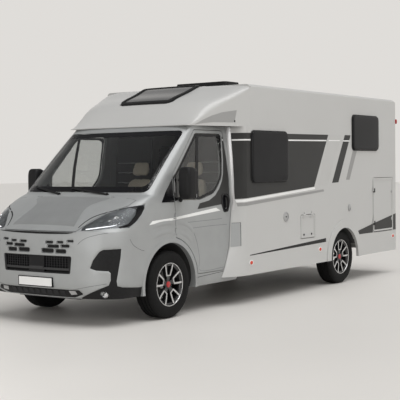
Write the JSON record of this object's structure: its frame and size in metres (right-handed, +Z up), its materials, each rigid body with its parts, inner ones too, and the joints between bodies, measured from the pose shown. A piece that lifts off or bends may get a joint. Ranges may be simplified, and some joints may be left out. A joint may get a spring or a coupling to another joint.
{
  "type": "motorhome",
  "caption": "Low-profile motorhome with a van cab, a moulded roof cap and a flat-sided coach body, on steered front wheels.",
  "frame": {"origin": "on the ground, at the middle of the overall length and width", "axes": "+X forward, +Y to the vehicle's left, +Z up"},
  "size_m": [7.0076, 2.55, 2.83],
  "materials": {
    "cab_paint": "metallic",
    "coach_paint": "gloss",
    "glass": "clear",
    "tinted": "tinted",
    "black_plastic": "grained",
    "lamp_reflector": "gloss",
    "mirror": "polished",
    "trim": "grained",
    "marker": "gloss",
    "lamp_red": "gloss",
    "steel": "satin",
    "engine": "cast",
    "board": "veneer",
    "cloth": "woven",
    "tyre": "rubber",
    "alloy": "machined"
  },
  "bodies": {
    "body": {"cab_shell": "cab_paint", "cab_glass": "glass", "headlamp_lenses": "glass", "headlamp_housings": "lamp_reflector", "front_bumper": "cab_paint", "grille": "black_plastic", "fog_lamps": "glass", "wipers": "black_plastic", "cab_floor": "trim", "dashboard": "trim", "coach_wall_left": "coach_paint", "coach_wall_right": "coach_paint", "coach_rear_wall": "coach_paint", "coach_roof": "coach_paint", "coach_floor": "board", "coach_windows": "tinted", "window_frames": "black_plastic", "overcab_cap": "coach_paint", "roof_window_frames": "black_plastic", "roof_windows": "tinted", "side_skirts": "coach_paint", "rear_bumper": "coach_paint", "wheel_arch_trims": "coach_paint", "side_markers": "marker", "rear_lamps": "lamp_red", "plates": "black_plastic", "wheel_housings": "black_plastic", "chassis_frame": "steel", "front_axle": "steel", "rear_axle": "steel", "engine_block": "engine", "underfloor_tanks": "black_plastic", "seat_cushions": "cloth", "seat_frames": "steel", "steering_wheel": "black_plastic", "furniture": "board"},
    "cab_door_left": {"door_left": "cab_paint", "door_glass_left": "glass", "mirror_left": "black_plastic", "mirror_glass_left": "mirror"},
    "cab_door_right": {"door_right": "cab_paint", "door_glass_right": "glass", "mirror_right": "black_plastic", "mirror_glass_right": "mirror"},
    "bonnet_lid": {"bonnet": "cab_paint"},
    "garage_flap_left": {"garage_door_left": "coach_paint"},
    "garage_flap_right": {"garage_door_right": "coach_paint"},
    "service_flap": {"service_hatch": "coach_paint"},
    "living_door": {"entrance_door": "coach_paint", "entrance_window": "tinted"},
    "steering_left": {"knuckle_left": "steel"},
    "steering_right": {"knuckle_right": "steel"},
    "wheel_front_left": {"tyre_front_left": "tyre", "rim_front_left": "alloy"},
    "wheel_front_right": {"tyre_front_right": "tyre", "rim_front_right": "alloy"},
    "wheel_rear_left": {"tyre_rear_left": "tyre", "rim_rear_left": "alloy"},
    "wheel_rear_right": {"tyre_rear_right": "tyre", "rim_rear_right": "alloy"}
  },
  "joints": [
    {"name": "steer_left", "type": "hinge", "parent": "body", "child": "steering_left", "pos_m": [2.375, 0.79, 0.387], "axis": [0, 0, 1], "range_deg": [-35, 35]},
    {"name": "steer_right", "type": "hinge", "parent": "body", "child": "steering_right", "pos_m": [2.375, -0.79, 0.387], "axis": [0, 0, 1], "range_deg": [-35, 35]},
    {"name": "spin_front_left", "type": "hinge", "parent": "steering_left", "child": "wheel_front_left", "pos_m": [2.375, 0.905, 0.387], "axis": [0, 1, 0], "continuous": true},
    {"name": "spin_front_right", "type": "hinge", "parent": "steering_right", "child": "wheel_front_right", "pos_m": [2.375, -0.905, 0.387], "axis": [0, 1, 0], "continuous": true},
    {"name": "spin_rear_left", "type": "hinge", "parent": "body", "child": "wheel_rear_left", "pos_m": [-1.66, 0.99, 0.387], "axis": [0, 1, 0], "continuous": true},
    {"name": "spin_rear_right", "type": "hinge", "parent": "body", "child": "wheel_rear_right", "pos_m": [-1.66, -0.99, 0.387], "axis": [0, 1, 0], "continuous": true},
    {"name": "cab_door_left_hinge", "type": "hinge", "parent": "body", "child": "cab_door_left", "pos_m": [2.2635, 1.022, 1], "axis": [0, 0, -1], "range_deg": [0, 65]},
    {"name": "cab_door_right_hinge", "type": "hinge", "parent": "body", "child": "cab_door_right", "pos_m": [2.2635, -1.022, 1], "axis": [0, 0, 1], "range_deg": [0, 65]},
    {"name": "bonnet_hinge", "type": "hinge", "parent": "body", "child": "bonnet_lid", "pos_m": [2.8415, 0, 1.38819], "axis": [0, -1, 0], "range_deg": [0, 55]},
    {"name": "garage_left_hinge", "type": "hinge", "parent": "body", "child": "garage_flap_left", "pos_m": [-2.6065, 1.172, 1.1], "axis": [0, 0, -1], "range_deg": [0, 160]},
    {"name": "garage_right_hinge", "type": "hinge", "parent": "body", "child": "garage_flap_right", "pos_m": [-2.6065, -1.172, 1.1], "axis": [0, 0, 1], "range_deg": [0, 160]},
    {"name": "service_hinge", "type": "hinge", "parent": "body", "child": "service_flap", "pos_m": [-0.575, 1.172, 1.0535], "axis": [1, 0, 0], "range_deg": [0, 100]},
    {"name": "living_door_hinge", "type": "hinge", "parent": "body", "child": "living_door", "pos_m": [-0.0915, -1.172, 1.5], "axis": [0, 0, 1], "range_deg": [0, 150]}
  ],
  "couplings": [
    {"joint": "steer_right", "follows": "steer_left", "ratio": 1}
  ]
}
